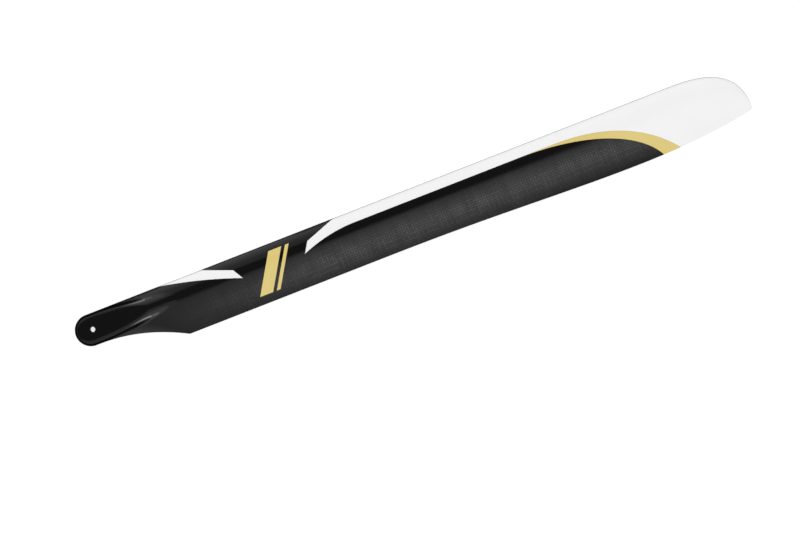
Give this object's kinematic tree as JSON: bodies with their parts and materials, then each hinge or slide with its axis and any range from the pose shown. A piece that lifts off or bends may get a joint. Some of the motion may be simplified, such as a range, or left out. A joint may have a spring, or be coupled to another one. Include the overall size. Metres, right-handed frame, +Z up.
{
  "type": "helicopter rotor blade",
  "caption": "Long slim composite rotor blade with a thick bolted lug, a fairing that flares into a symmetric wing section, a wider outer part and a swept tip.",
  "frame": {"origin": "centre of the bolt hole, at mid thickness of the lug", "axes": "+X along the span to the tip, +Y across the chord to the leading edge, +Z up along the bolt"},
  "size_m": [0.7184, 0.062, 0.014],
  "materials": {
    "blade": "clear gloss coat over dark woven fibre, with white and gold paint fields"
  },
  "bodies": {
    "root": {"blade": "blade"}
  },
  "joints": []
}
